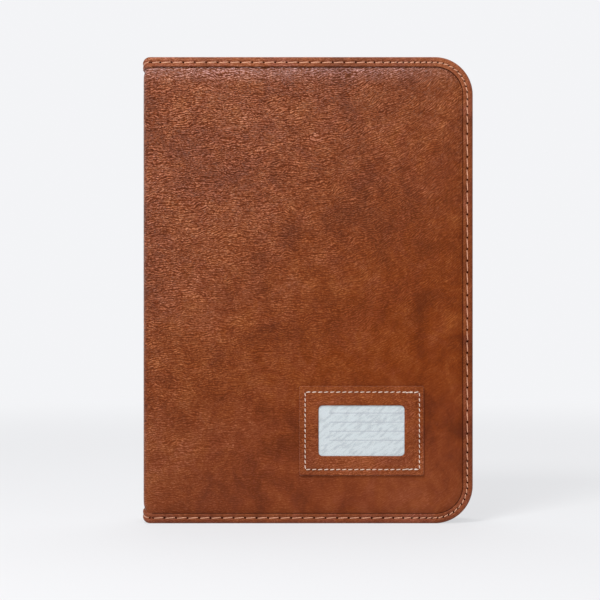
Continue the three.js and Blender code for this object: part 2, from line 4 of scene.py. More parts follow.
import bmesh
import bpy
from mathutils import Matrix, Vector


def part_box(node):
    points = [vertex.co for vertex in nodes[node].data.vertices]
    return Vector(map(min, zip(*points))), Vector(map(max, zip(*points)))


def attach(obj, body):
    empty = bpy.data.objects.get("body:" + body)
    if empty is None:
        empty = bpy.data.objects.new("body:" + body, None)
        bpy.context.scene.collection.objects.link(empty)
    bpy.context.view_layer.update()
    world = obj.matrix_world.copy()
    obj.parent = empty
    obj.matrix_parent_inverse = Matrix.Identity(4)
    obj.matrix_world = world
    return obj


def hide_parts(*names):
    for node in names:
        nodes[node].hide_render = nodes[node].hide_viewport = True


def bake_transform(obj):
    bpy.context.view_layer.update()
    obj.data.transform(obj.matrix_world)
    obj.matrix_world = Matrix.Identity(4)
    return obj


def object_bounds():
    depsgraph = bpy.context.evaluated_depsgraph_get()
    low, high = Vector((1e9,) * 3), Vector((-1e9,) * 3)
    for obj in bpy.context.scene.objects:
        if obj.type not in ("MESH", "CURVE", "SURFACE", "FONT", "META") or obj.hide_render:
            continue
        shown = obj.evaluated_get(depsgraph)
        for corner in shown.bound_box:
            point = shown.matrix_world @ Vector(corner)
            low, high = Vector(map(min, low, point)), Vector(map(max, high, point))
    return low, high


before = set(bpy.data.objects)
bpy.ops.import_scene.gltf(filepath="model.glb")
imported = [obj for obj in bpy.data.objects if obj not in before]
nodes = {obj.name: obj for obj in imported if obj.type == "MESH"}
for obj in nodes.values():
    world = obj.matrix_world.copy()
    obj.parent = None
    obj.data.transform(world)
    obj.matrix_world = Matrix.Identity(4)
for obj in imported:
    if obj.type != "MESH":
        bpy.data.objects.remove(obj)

cad_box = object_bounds()
MM = 0.001

# Places read from the frame, in metres
BINDING_LOW, BINDING_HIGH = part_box("front_binding")
LEATHER_LOW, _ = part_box("front_leather")
SPINE_LOW, SPINE_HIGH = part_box("spine_leather")
SPINE_FOOT_LOW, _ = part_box("spine_binding_bottom")
_, SPINE_HEAD_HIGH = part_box("spine_binding_top")
FRAME_LOW, FRAME_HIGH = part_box("card_frame")
FILM_LOW, FILM_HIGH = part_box("card_window")
SLEEVE_LOW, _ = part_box("front_sleeve_1")

HEIGHT = BINDING_HIGH.z
FORE_EDGE = BINDING_HIGH.x
COVER_START = BINDING_LOW.x
CORNER_RADIUS = 29 * MM
BINDING_WIDTH = 8 * MM
BINDING_HALF = (BINDING_HIGH.y - BINDING_LOW.y) / 2
BINDING_LEATHER = 0.7 * MM
HINGE_RADIUS = COVER_START - SPINE_LOW.x
SPINE_SHORT = SPINE_FOOT_LOW.z  # how far head and foot of the spine stand inside the covers' edges
PROUD = LEATHER_LOW.y - BINDING_LOW.y  # how far the binding stands out over the leather
APERTURE = (65.5 * MM, 38.5 * MM)
APERTURE_RADIUS = 3 * MM


# Materials
RIPPLE_TILT = math.radians(-38)


class Shader:
    """A procedural material with its Principled shader and small helpers for its nodes."""

    def __init__(self, name, color, roughness, metallic=0.0):
        self.material = bpy.data.materials.new(name)
        self.material.use_nodes = True
        self.tree = self.material.node_tree
        self.bsdf = self.tree.nodes["Principled BSDF"]
        self.set({"Base Color": (*color, 1), "Roughness": roughness, "Metallic": metallic})
        self.place = self.add("ShaderNodeTexCoord").outputs["Object"]

    def set(self, values, node=None):
        """Values for the sockets of a node, the Principled shader unless another is named."""
        for socket, value in values.items():
            (node or self.bsdf).inputs[socket].default_value = value

    def add(self, kind, values=None, **settings):
        node = self.tree.nodes.new(kind)
        for key, value in settings.items():
            setattr(node, key, value)
        self.set(values or {}, node)
        return node

    def link(self, a, b):
        self.tree.links.new(a, b)

    def split(self):
        """The x and the z of each place."""
        node = self.add("ShaderNodeSeparateXYZ")
        self.link(self.place, node.inputs["Vector"])
        return node.outputs["X"], node.outputs["Z"]

    def mapped(self, place, values, **settings):
        node = self.add("ShaderNodeMapping", values, **settings)
        self.link(place, node.inputs["Vector"])
        return node.outputs["Vector"]

    def noise(self, scale, detail=2.0, rough=0.5, warp=0.0, stretch=(1, 1, 1)):
        values = {"Scale": scale, "Detail": detail, "Roughness": rough, "Distortion": warp}
        node = self.add("ShaderNodeTexNoise", values)
        self.link(self.mapped(self.place, {"Scale": stretch}), node.inputs["Vector"])
        return node.outputs["Fac"]

    def ripples(self, scale, detail, length):
        """Noise drawn out along the film's slanting ripples."""
        values = {"Rotation": (0, RIPPLE_TILT, 0), "Scale": (length, 1, 1)}
        node = self.add("ShaderNodeTexNoise", {"Scale": scale, "Detail": detail})
        self.link(self.mapped(self.place, values, vector_type="TEXTURE"), node.inputs["Vector"])
        return node.outputs["Fac"]

    def ramp(self, value, *stops):
        node = self.add("ShaderNodeValToRGB")
        ramp = node.color_ramp
        while len(ramp.elements) < len(stops):
            ramp.elements.new(0.5)
        for element, (at, color) in zip(ramp.elements, stops):
            element.position = at
            element.color = (*color, 1)
        self.link(value, node.inputs["Fac"])
        return node.outputs["Color"]

    def mix(self, factor, a, b, kind="MIX"):
        node = self.add("ShaderNodeMix", data_type="RGBA", blend_type=kind)
        for socket, value in ((node.inputs[0], factor), (node.inputs[6], a), (node.inputs[7], b)):
            if isinstance(value, bpy.types.NodeSocket):
                self.link(value, socket)
            elif isinstance(value, tuple):
                socket.default_value = (*value, 1)
            else:
                socket.default_value = value
        return node.outputs[2]

    def math(self, kind, a, b=0.0):
        node = self.add("ShaderNodeMath", operation=kind)
        for socket, value in zip(node.inputs, (a, b)):
            if isinstance(value, bpy.types.NodeSocket):
                self.link(value, socket)
            else:
                socket.default_value = value
        return node.outputs[0]

    def share(self, a, b, part):
        """A sum of two values in which b has the given part."""
        return self.math("ADD", self.math("MULTIPLY", a, 1 - part), self.math("MULTIPLY", b, part))

    def spread(self, value, low, high):
        """A value from 0 to 1 spread from low to high."""
        node = self.add("ShaderNodeMapRange", {"To Min": low, "To Max": high})
        self.link(value, node.inputs["Value"])
        return node.outputs["Result"]

    def fade(self, value, start, end, low, high):
        """A smooth step that goes from low at start to high at end."""
        values = {"From Min": start, "From Max": end, "To Min": low, "To Max": high}
        node = self.add("ShaderNodeMapRange", values, interpolation_type="SMOOTHSTEP")
        self.link(value, node.inputs["Value"])
        return node.outputs["Result"]

    def color(self, socket):
        self.link(socket, self.bsdf.inputs["Base Color"])

    def roughness(self, socket):
        self.link(socket, self.bsdf.inputs["Roughness"])

    def bump(self, *layers):
        """Layers of relief, each a height, its strength and its distance."""
        normal = None
        for value, strength, distance in layers:
            node = self.add("ShaderNodeBump", {"Strength": strength, "Distance": distance})
            self.link(value, node.inputs["Height"])
            if normal:
                self.link(normal, node.inputs["Normal"])
            normal = node.outputs["Normal"]
        self.link(normal, self.bsdf.inputs["Normal"])


# The leather's grain: level wrinkles that tilt a little and slant down towards the fore-edge
GRAIN_TILT = 0.12
GRAIN_STRETCH = (0.7, 1, 1.95)
GRAIN_SLANT = -3.2
GRAIN_WANDER = 0.012
WAVE_PART = 0.24
# Painted shade in the grain's crease lines and hollows, painted light on the tops between them, and
# painted glints on the wrinkles
CREASE_SHADE = (0.5, 0.38, 0.3)
LIT_BETWEEN_CREASES = (1.1, 1.1, 1.1)
HOLLOW_SHADE = (0.44, 0.34, 0.24)
PAINTED_GLINT = (2.4, 4.0, 6.5)

# The leather's slow changes of tone and its painted light: ruddy patches, painted shade low and right,
# painted light high and left, and the pale colour of a painted sheen high and left, of a painted
# highlight under the head's binding and of painted light bounced from the floor over the foot
RUDDY = (0.98, 0.98, 1.5)
SHADED_LOW_RIGHT, HALF_LIT, LIT_HIGH_LEFT = (0.87, 0.8, 0.8), (0.87, 0.83, 0.75), (0.97, 0.96, 0.95)
PAINTED_SHEEN = (0.44, 0.21, 0.15)
HEAD_SHEEN_START, HEAD_SHEEN_END = 0.333, 0.352
FOOT_START, FOOT_END, FOOT_BOUNCE_LIGHT = 0.13, 0.015, 0.09
PLAIN = (1, 1, 1)


def grain_place(s, x):
    """Where the grain is looked up: moved a little, slanted and squeezed in height."""
    wander = s.add("ShaderNodeTexNoise", {"Scale": 42, "Detail": 2})
    s.link(s.place, wander.inputs["Vector"])
    moved = s.add("ShaderNodeMix", {0: GRAIN_WANDER}, data_type="VECTOR")
    s.link(s.place, moved.inputs[4])
    s.link(wander.outputs["Color"], moved.inputs[5])
    lift = s.add("ShaderNodeCombineXYZ")
    rightward = s.math("POWER", s.math("MAXIMUM", x, 0.0), 2.0)
    s.link(s.math("MULTIPLY", rightward, GRAIN_SLANT), lift.inputs["Z"])
    slanted = s.add("ShaderNodeVectorMath", operation="ADD")
    s.link(moved.outputs[1], slanted.inputs[0])
    s.link(lift.outputs["Vector"], slanted.inputs[1])
    values = {"Rotation": (0, GRAIN_TILT, 0), "Scale": GRAIN_STRETCH}
    return s.mapped(slanted.outputs["Vector"], values)


def grain_pattern(s, place, scale):
    """The heights of pebbles and wrinkles, with the painted shade in their crease lines and hollows
    and the painted glints on their tops that go with them.
    """
    cells = s.add("ShaderNodeTexVoronoi", {"Scale": scale * 0.7}, feature="DISTANCE_TO_EDGE")
    ridges = s.add("ShaderNodeTexNoise", {"Scale": scale * 1.15, "Detail": 1, "Distortion": 0.35})
    values = {"Scale": scale * 0.145, "Distortion": 9, "Detail": 2, "Detail Scale": 1.6}
    waves = s.add("ShaderNodeTexWave", values, wave_type="BANDS", bands_direction="Z")
    for texture in (cells, ridges, waves):
        s.link(place, texture.inputs["Vector"])
    pebbles = s.math("MINIMUM", s.math("MULTIPLY", cells.outputs["Distance"], 3.2), 1.0)
    wrinkles = s.share(ridges.outputs["Fac"], waves.outputs["Fac"], WAVE_PART)
    # Painted shade in the crease lines and hollows, painted light between them, and painted glints on
    # the wrinkles' tops
    crease_shade = s.ramp(pebbles, (0.0, CREASE_SHADE), (0.75, LIT_BETWEEN_CREASES))
    glints = s.ramp(wrinkles, (0.36, HOLLOW_SHADE), (0.5, PLAIN), (0.64, PAINTED_GLINT))
    return pebbles, wrinkles, s.mix(1.0, crease_shade, glints, "MULTIPLY")


def leather(name, tones, grain_scale, grain_depth, grain=(0.14, 1.0), head_sheen=0.0):
    """Burnished leather: clouds of lighter and darker brown over a wrinkled and pebbled grain, with
    painted light on top: painted shade low and right, painted light and a pale painted sheen high and
    left, a painted highlight under the head's binding and painted light bounced from the floor over
    the foot.
    grain is its strength low and right and high and left; it sets the relief and how much painted
    crease shade and glints show.
    The last argument is how pale the painted highlight on the strip under the head's binding is."""
    dark, middle, light = tones
    s = Shader(name, middle, 0.5)
    clouds = s.noise(19, 5, 0.62, 0.7)
    patches = s.noise(70, 4, 0.62, 0.9, (1, 1, 0.8))
    tone = s.ramp(s.share(clouds, patches, 0.38), (0.37, dark), (0.5, middle), (0.63, light))
    ruddy = s.ramp(s.noise(38, 3, 0.6, 1.2), (0.45, PLAIN), (0.62, RUDDY))
    tone = s.mix(1.0, tone, ruddy, "MULTIPLY")

    x, z = s.split()
    high_left = s.math("SUBTRACT", z, s.math("MULTIPLY", x, 0.8))
    high_left = s.math("ADD", high_left, s.math("MULTIPLY", patches, 0.16))
    crisp = s.fade(high_left, 0.05, 0.45, *grain)
    pebbles, wrinkles, pattern = grain_pattern(s, grain_place(s, x), grain_scale)

    # Painted light and shade: the tone is darker low and right and lighter high and left
    shade = s.fade(high_left, 0.0, 0.42, 0.0, 1.0)
    painted_light_fall = s.ramp(shade, (0.0, SHADED_LOW_RIGHT), (0.6, HALF_LIT), (1.0, LIT_HIGH_LEFT))
    tone = s.mix(1.0, tone, painted_light_fall, "MULTIPLY")
    # Painted sheen: a pale colour mixed in high and left, in a painted highlight under the head's
    # binding, and as painted light bounced from the floor over the foot
    painted_sheen_level = s.math("MULTIPLY", s.math("POWER", shade, 3.0), 0.08)
    leftward = s.fade(x, 0.06, 0.11, 1.0, 0.4)
    painted_head_sheen = s.math("MULTIPLY", s.fade(z, HEAD_SHEEN_START, HEAD_SHEEN_END, 0.0, head_sheen), leftward)
    painted_foot_light = s.fade(z, FOOT_START, FOOT_END, 0.0, FOOT_BOUNCE_LIGHT)
    ends = s.math("MULTIPLY", s.math("ADD", painted_head_sheen, painted_foot_light), clouds)
    tone = s.mix(s.math("ADD", painted_sheen_level, ends), tone, PAINTED_SHEEN)
    # The grain's painted crease shade and glints show most high and left
    s.color(s.mix(s.math("MULTIPLY", crisp, 0.9), tone, s.mix(1.0, tone, pattern, "MULTIPLY")))
    s.roughness(s.spread(s.math("ADD", clouds, s.math("MULTIPLY", patches, 0.5)), 0.3, 0.55))
    s.set({"Specular IOR Level": 0.15, "Specular Tint": (1.0, 0.6, 0.3, 1)})
    s.set({"Sheen Weight": 0.4, "Sheen Roughness": 0.4, "Sheen Tint": (1.0, 0.88, 0.8, 1)})
    fine = s.noise(grain_scale * 1.7, 2, 0.5)
    s.bump(
        (s.math("MULTIPLY", pebbles, crisp), 0.8, grain_depth),
        (s.math("MULTIPLY", wrinkles, crisp), 0.8, grain_depth),
        (s.math("MULTIPLY", fine, crisp), 0.5, grain_depth * 0.4),
        (s.noise(60, 3), 0.3, 0.25 * MM),
    )
    return s.material


COVER_TONES = ((0.118, 0.018, 0.002), (0.185, 0.032, 0.0035), (0.245, 0.054, 0.009))
BINDING_TONES = ((0.13, 0.026, 0.006), (0.2, 0.044, 0.0105), (0.27, 0.07, 0.02))
FRAME_TONES = ((0.172, 0.032, 0.0058), (0.232, 0.048, 0.0087), (0.292, 0.0695, 0.016))
LEATHER = leather("burnished_leather", COVER_TONES, 760, 0.45 * MM, head_sheen=0.62)
BINDING = leather("binding_leather", BINDING_TONES, 900, 0.2 * MM, (0.3, 0.5))
FRAME_SKIN = leather("frame_leather", FRAME_TONES, 900, 0.22 * MM, (0.5, 0.6))


def thread(name, dark, light):
    """Twisted thread, with painted shade between its strands."""
    s = Shader(name, light, 0.6)
    twist = s.noise(2600, 2, 0.5, 0, (1, 1, 2.2))
    s.color(s.ramp(twist, (0.3, dark), (0.62, light)))
    s.bump((twist, 0.6, 0.12 * MM))
    s.set({"Sheen Weight": 0.2})
    return s.material


TAN_THREAD = thread("tan_thread", (0.34, 0.13, 0.07), (0.8, 0.41, 0.25))
PALE_THREAD = thread("pale_thread", (0.5, 0.36, 0.27), (0.86, 0.76, 0.66))


def plain(name, color, roughness, specular=0.5, grain=900, depth=0.04 * MM):
    """An even material with a fine grain and a little change of tone and gloss."""
    s = Shader(name, color, roughness)
    s.set({"Specular IOR Level": specular})
    tone = s.noise(grain, 3, 0.6)
    darker = tuple(c * 0.72 for c in color)
    s.color(s.ramp(tone, (0.3, darker), (0.7, color)))
    s.roughness(s.spread(tone, max(0.05, roughness - 0.08), min(1, roughness + 0.1)))
    s.bump((tone, 0.4, depth))
    return s.material


# Painted shade: each needle hole is a dark disc that stands for the shade in the hole
NEEDLE_HOLE_SHADE = plain("needle_hole", (0.055, 0.011, 0.004), 0.9, specular=0.05)
# Dark edge paint on the cut lips, darker still as painted shade of the step at the binding's inner
# edge
EDGE_PAINT_AND_SHADE = plain("edge_paint_and_shade", (0.06, 0.012, 0.004), 0.7, specular=0.05)
BOARD = plain("grey_board", (0.3, 0.27, 0.22), 0.95, grain=500, depth=0.1 * MM)


def woven_lining():
    s = Shader("woven_lining", (0.05, 0.026, 0.017), 0.85)
    values = {"Scale": 420, "Distortion": 0.6}
    warp = s.add("ShaderNodeTexWave", values, wave_type="BANDS", bands_direction="X")
    weft = s.add("ShaderNodeTexWave", values, wave_type="BANDS", bands_direction="Z")
    for wave in (warp, weft):
        s.link(s.place, wave.inputs["Vector"])
    weave = s.math("MAXIMUM", warp.outputs["Fac"], weft.outputs["Fac"])
    s.color(s.ramp(weave, (0.2, (0.03, 0.016, 0.011)), (0.9, (0.075, 0.042, 0.028))))
    s.bump((weave, 0.5, 0.12 * MM))
    return s.material


def nickel():
    s = Shader("nickel_plate", (0.72, 0.71, 0.69), 0.18, 1.0)
    brushed = s.noise(1500, 2, 0.6, 0, (1, 1, 0.05))
    s.roughness(s.spread(brushed, 0.1, 0.3))
    s.bump((brushed, 0.15, 0.02 * MM))
    return s.material


# The rules on the card: how many, how far apart, and how far below and beside the window's corner
RULES = 4
RULE_PITCH = 6.9 * MM
RULE_HALF = 0.22 * MM
FIRST_RULE = 5.8 * MM
RULE_START = 8 * MM


def card_paper():
    """Pale card with a few thin grey rules, as printed for handwriting."""
    s = Shader("ruled_card", (0.66, 0.76, 0.8), 0.6)
    x, z = s.split()
    top = (FRAME_HIGH.z + FRAME_LOW.z + APERTURE[1]) / 2 - FIRST_RULE
    rules = None
    for row in range(RULES):
        near = s.math("ABSOLUTE", s.math("SUBTRACT", z, top - row * RULE_PITCH))
        line = s.math("LESS_THAN", near, RULE_HALF)
        rules = line if rules is None else s.math("MAXIMUM", rules, line)
    start = (FRAME_LOW.x + FRAME_HIGH.x - APERTURE[0]) / 2 + RULE_START
    rules = s.math("MULTIPLY", rules, s.math("GREATER_THAN", x, start))
    streaks = s.ripples(520, 2, 3.2)
    paper = s.ramp(streaks, (0.34, (0.34, 0.4, 0.425)), (0.55, (0.48, 0.55, 0.58)))
    s.color(s.mix(rules, paper, (0.2, 0.235, 0.26)))
    return s.material


def clear_film():
    """Thin clear film with slight diagonal ripples, drawn tight over the card."""
    s = Shader("clear_film", (0.95, 0.97, 0.98), 0.12)
    s.set({"Alpha": 0.16, "Coat Weight": 0.6, "Coat Roughness": 0.1})
    s.bump((s.ripples(420, 1, 4), 0.5, 0.25 * MM))
    return s.material


def sleeve_film():
    """A clear sleeve over its dark insert sheet, with a milky punched strip along the rings."""
    s = Shader("sleeve_film", (0.02, 0.02, 0.022), 0.16)
    x, _ = s.split()
    strip = s.math("LESS_THAN", x, SLEEVE_LOW.x + 17 * MM)
    insert = s.ramp(s.noise(90, 3), (0.3, (0.014, 0.014, 0.016)), (0.7, (0.03, 0.03, 0.034)))
    s.color(s.mix(strip, insert, (0.62, 0.65, 0.67)))
    s.set({"Coat Weight": 0.5})
    s.bump((s.noise(45, 2), 0.3, 0.3 * MM))
    return s.material


LINING = woven_lining()
STEEL = nickel()
CARD = card_paper()
FILM = clear_film()
SLEEVE = sleeve_film()


# Meshes
SHARP_ANGLE = math.radians(50)


def make(name, points, faces, material, body=None, slot=None, smooth=True):
    """A piece from points and faces, with its material and its body where it has one. slot is not
    used.
    """
    mesh = bpy.data.meshes.new(name)
    mesh.from_pydata([tuple(p) for p in points], [], faces)
    work = bmesh.new()
    work.from_mesh(mesh)
    bmesh.ops.recalc_face_normals(work, faces=work.faces)
    work.to_mesh(mesh)
    work.free()
    mesh.materials.append(material)
    if smooth:
        mesh.polygons.foreach_set("use_smooth", [True] * len(mesh.polygons))
        mesh.set_sharp_from_angle(angle=SHARP_ANGLE)
    piece = bpy.data.objects.new(name, mesh)
    bpy.context.scene.collection.objects.link(piece)
    if body:
        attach(piece, body)
    return piece


def slab(front, back):
    """Points and faces of a closed sheet between two grids of points of the same size."""
    rows, columns = len(front), len(front[0])
    points = [p for grid in (front, back) for row in grid for p in row]
    count = rows * columns
    faces = []
    for r in range(rows - 1):
        for c in range(columns - 1):
            a = r * columns + c
            quad = (a, a + 1, a + columns + 1, a + columns)
            faces += [quad, tuple(count + i for i in reversed(quad))]
    rim = [(0, c) for c in range(columns)]
    rim += [(r, columns - 1) for r in range(1, rows)]
    rim += [(rows - 1, c) for c in range(columns - 2, -1, -1)]
    rim += [(r, 0) for r in range(rows - 2, 0, -1)]
    ring = [r * columns + c for r, c in rim]
    for a, b in zip(ring, ring[1:] + ring[:1]):
        faces.append((b, a, a + count, b + count))
    return points, faces


def sweep(loops, closed=False):
    """Points and faces of a skin over loops of the same number of points."""
    count = len(loops[0])
    points = [p for loop in loops for p in loop]
    faces = []
    for k in range(len(loops) if closed else len(loops) - 1):
        a, b = k * count, (k + 1) % len(loops) * count
        for i in range(count):
            j = (i + 1) % count
            faces.append((a + i, a + j, b + j, b + i))
    if not closed:
        faces.append(tuple(range(count))[::-1])
        faces.append(tuple((len(loops) - 1) * count + i for i in range(count)))
    return points, faces


def spaced(low, high, step):
    """Even values from low to high, as near to step apart as fits."""
    count = max(1, round((high - low) / step))
    return [low + (high - low) * i / count for i in range(count + 1)]


def hump(away, width):
    """A smooth hump, 1 in the middle."""
    return math.exp(-((away / width) ** 2))


# Camera, lights and stage. The folder's sides in the photograph are in its pixels
PHOTO = 600
FOLDER_LEFT, FOLDER_RIGHT, FOLDER_TOP, FOLDER_BOTTOM = 142.6, 472.9, 57.0, 523.3
LENS, SENSOR = 100, 36


def set_camera():
    """A camera square on to the front, which frames the folder as the photograph does."""
    width = cad_box[1][0] - cad_box[0][0]
    metres_per_pixel = width / (FOLDER_RIGHT - FOLDER_LEFT)
    away = PHOTO * metres_per_pixel * LENS / SENSOR
    x = (PHOTO / 2 - (FOLDER_LEFT + FOLDER_RIGHT) / 2) * metres_per_pixel
    z = HEIGHT / 2 - (PHOTO / 2 - (FOLDER_TOP + FOLDER_BOTTOM) / 2) * metres_per_pixel
    data = bpy.data.cameras.new("camera")
    data.lens = LENS
    data.sensor_width = SENSOR
    camera = bpy.data.objects.new("camera", data)
    camera.location = (x, LEATHER_LOW.y - away, z)
    camera.rotation_euler = (math.radians(90), 0, 0)
    bpy.context.scene.collection.objects.link(camera)
    bpy.context.scene.camera = camera


def area_light(name, place, target, size, power):
    data = bpy.data.lights.new(name, "AREA")
    data.shape = "DISK"
    data.size = size
    data.energy = power
    lamp = bpy.data.objects.new(name, data)
    lamp.location = place
    lamp.rotation_euler = (Vector(target) - Vector(place)).to_track_quat("-Z", "Y").to_euler()
    bpy.context.scene.collection.objects.link(lamp)


BACKDROP = (0.9, 0.905, 0.925, 1)
SKY_LIGHT = 0.44
FLOOR_SEEN = 0.66
FADE_START, FADE_END = 0.3, 1.6
FLOOR_SIZE = 60.0


def set_world():
    """An even pale sky, seen brighter by the camera than it lights."""
    world = bpy.data.worlds.new("studio")
    bpy.context.scene.world = world
    world.use_nodes = True
    tree = world.node_tree
    background = tree.nodes["Background"]
    background.inputs["Color"].default_value = BACKDROP
    path = tree.nodes.new("ShaderNodeLightPath")
    level = tree.nodes.new("ShaderNodeMapRange")
    level.inputs["To Min"].default_value = SKY_LIGHT
    level.inputs["To Max"].default_value = 1.0
    tree.links.new(path.outputs["Is Camera Ray"], level.inputs["Value"])
    tree.links.new(level.outputs["Result"], background.inputs["Strength"])


def set_floor():
    """A pale floor, seen by the camera paler than it lights, and like the backdrop far away."""
    s = Shader("pale_floor", (0.72, 0.72, 0.73), 0.95)
    s.set({"Specular IOR Level": 0.1})
    away = s.add("ShaderNodeVectorMath", operation="LENGTH")
    s.link(s.place, away.inputs[0])
    fade = s.fade(away.outputs["Value"], FADE_START, FADE_END, FLOOR_SEEN, 1.0)
    seen = s.add("ShaderNodeLightPath").outputs["Is Camera Ray"]
    glow = s.add("ShaderNodeEmission", {"Color": BACKDROP})
    blend = s.add("ShaderNodeMixShader")
    s.link(s.math("MULTIPLY", seen, fade), blend.inputs[0])
    s.link(s.bsdf.outputs[0], blend.inputs[1])
    s.link(glow.outputs[0], blend.inputs[2])
    s.link(blend.outputs[0], s.tree.nodes["Material Output"].inputs["Surface"])
    far = FLOOR_SIZE
    points = [(-far, -far, 0), (far, -far, 0), (far, far, 0), (-far, far, 0)]
    make("floor", points, [(0, 1, 2, 3)], s.material, smooth=False)


set_camera()
set_world()
set_floor()
area_light("key", (-0.45, -0.9, 1.25), (-0.03, 0, 0.2), 0.45, 16)
area_light("sheen", (-0.35, -1.6, 0.62), (-0.08, 0, 0.28), 0.35, 6)
area_light("fill", (1.2, -1.1, 0.5), (0, 0, 0.15), 1.2, 2.5)
area_light("top", (0.0, 0.45, 1.2), (0, 0, 0.1), 0.7, 5)


# Covers. The leather is pinched beside the binding and stands out softly beyond it
PINCH_WIDTH = 1.3 * MM
FULL_WIDTH = 4 * MM
COVER_PINCH = 0.75 * MM
ROLL_PINCH = 0.7 * MM
COVER_SWELL, SWELL_AT = 0.25 * MM, 6 * MM
COVER_WAVES = 0.14 * MM
CALM_WIDTH = 8 * MM  # the leather is level this near to the roll
CORNER_ROWS = 16
ROW_STEP = 1.8 * MM
COVER_COLUMNS = 150


def outline_right(z, inset):
    """The x of the fore-edge at height z, with the outline drawn in by inset."""
    radius = CORNER_RADIUS - inset
    low, high = inset + radius, HEIGHT - inset - radius
    off = max(low - z, z - high, 0)
    return FORE_EDGE - inset - radius + math.sqrt(max(radius**2 - min(off, radius) ** 2, 0))


def edge_distance(x, z):
    """How far a point of a cover lies inside the outer edge."""
    dx = FORE_EDGE - x
    dz = min(z, HEIGHT - z)
    if dx < CORNER_RADIUS and dz < CORNER_RADIUS:
        return CORNER_RADIUS - math.hypot(CORNER_RADIUS - dx, CORNER_RADIUS - dz)
    return min(dx, dz)


def cover_relief(x, z):
    """Height of the leather over its flat face: pinched at the binding, softly full beyond it."""
    inside = edge_distance(x, z) - BINDING_WIDTH
    pinch = -COVER_PINCH * hump(inside, PINCH_WIDTH)
    swell = COVER_SWELL * hump(inside - SWELL_AT, FULL_WIDTH)
    waves = COVER_WAVES * math.sin(31 * x + 9 * z) * math.sin(17 * z - 6 * x)
    calm = min(1, max(0, x - COVER_START) / CALM_WIDTH)
    return pinch + (swell + waves) * calm * calm * (3 - 2 * calm)


def cover_rows(inset):
    """The heights of the rows of points, closer together in the round corners."""
    low, high = inset, HEIGHT - inset
    radius = CORNER_RADIUS - inset
    bends = [radius * (1 - math.cos(math.pi / 2 * k / CORNER_ROWS)) for k in range(CORNER_ROWS)]
    rows = [low + bend for bend in bends]
    rows += spaced(low + radius, high - radius, ROW_STEP)
    rows += [high - bend for bend in reversed(bends)]
    return rows


# The strip that is folded over the edges. Its stitch line is pulled in, most at the needle holes
STITCH_INSET = 4.3 * MM
STITCH_STEP = 1.1 * MM
PROFILE_STEPS = 7
LIP = 0.55 * MM
FOLD_ROUNDNESS = 0.72
FACE_POINTS = (6.6, 5.9, 5.3, 4.9, 4.6, 4.3, 4.0, 3.7, 3.3, 2.8, 2.3)
PULL_WIDTH = 1.4 * MM
CORNER_STATIONS = 36

# The strip's relief: the groove under the thread, the puff towards the edge, and the swell
# towards the lip. Each has its place, its width, its depth, and how much deeper a needle hole pulls it
GROOVE = (4.15 * MM, 0.9 * MM, 0.34 * MM, 0.56 * MM)
PUFF = (2.6 * MM, 1.1 * MM, -0.36 * MM, 0.3 * MM)
SWELL = (5.9 * MM, 0.7 * MM, -0.3 * MM, 0.3 * MM)


def folded_skin(pull):
    """The outside of the strip in section, from the front lip round the edge to the back lip.
    u runs in from the edge, v across the thickness. pull is 1 at a needle hole, 0 between two."""
    radius = BINDING_HALF * FOLD_ROUNDNESS

    def relief(u):
        forms = (GROOVE, PUFF, SWELL)
        return sum((deep + more * pull) * hump(u - at, width) for at, width, deep, more in forms)

    half_skin = [(BINDING_WIDTH, -BINDING_HALF + BINDING_LEATHER)]
    half_skin.append((BINDING_WIDTH - LIP, -BINDING_HALF))
    for u in FACE_POINTS:
        half_skin.append((u * MM, -BINDING_HALF + relief(u * MM)))
    for k in range(PROFILE_STEPS + 1):
        a = k / PROFILE_STEPS * math.pi / 2
        half_skin.append((radius * (1 - math.sin(a)), -BINDING_HALF + radius * (1 - math.cos(a))))
    return half_skin + [(u, -v) for u, v in reversed(half_skin)]


def binding_section(pull):
    """The folded strip as a closed channel section."""
    inner = BINDING_HALF - BINDING_LEATHER
    return folded_skin(pull) + [(BINDING_LEATHER, inner), (BINDING_LEATHER, -inner)]


def pull_at(place, holes):
    return hump(min(abs(place - hole) for hole in holes), PULL_WIDTH)


def paint_lips(piece, count):
    """Dark edge paint on the cut lips, which are the first and last faces of each skin; it also stands
    as painted shade of the step at the binding's inner edge.
    """
    piece.data.materials.append(EDGE_PAINT_AND_SHADE)
    for index, face in enumerate(piece.data.polygons):
        if len(face.vertices) == 4 and index % count in (0, len(folded_skin(0)) - 2):
            face.material_index = 1


def stitch_stations():
    """Stations along a cover's stitch line: x, z, the direction out of the edge, the way so far."""
    centre = FORE_EDGE - CORNER_RADIUS
    radius = CORNER_RADIUS - STITCH_INSET
    along = spaced(COVER_START, centre, STITCH_STEP)
    path = [(x, STITCH_INSET, -math.pi / 2) for x in along]
    turns = [math.pi / 2 * k / CORNER_STATIONS for k in range(1, CORNER_STATIONS + 1)]
    for middle, first in ((CORNER_RADIUS, -math.pi / 2), (HEIGHT - CORNER_RADIUS, 0.0)):
        if first == 0.0:
            sides = spaced(CORNER_RADIUS, middle, STITCH_STEP)[1:]
            path += [(FORE_EDGE - STITCH_INSET, z, 0.0) for z in sides]
        for turn in turns:
            out = first + turn
            path.append((centre + radius * math.cos(out), middle + radius * math.sin(out), out))
    path += [(x, HEIGHT - STITCH_INSET, math.pi / 2) for x in along[-2::-1]]
    way = 0.0
    stations = []
    for k, (x, z, out) in enumerate(path):
        if k:
            way += math.hypot(x - path[k - 1][0], z - path[k - 1][1])
        stations.append((x, z, out, way))
    return stations


STATIONS = stitch_stations()

# The stitches' pitch, least in the round corners, and the ways over which it grows to its most
LEAST_PITCH, MORE_PITCH = 4.3 * MM, 4.0 * MM
SIDE_GROWTH, END_GROWTH = 45 * MM, 40 * MM
HEAD_SHORT, FOOT_SHORT = 26 * MM, 6 * MM
FIRST_HOLE = 1.2 * MM
LEAST_STITCH = 3 * MM


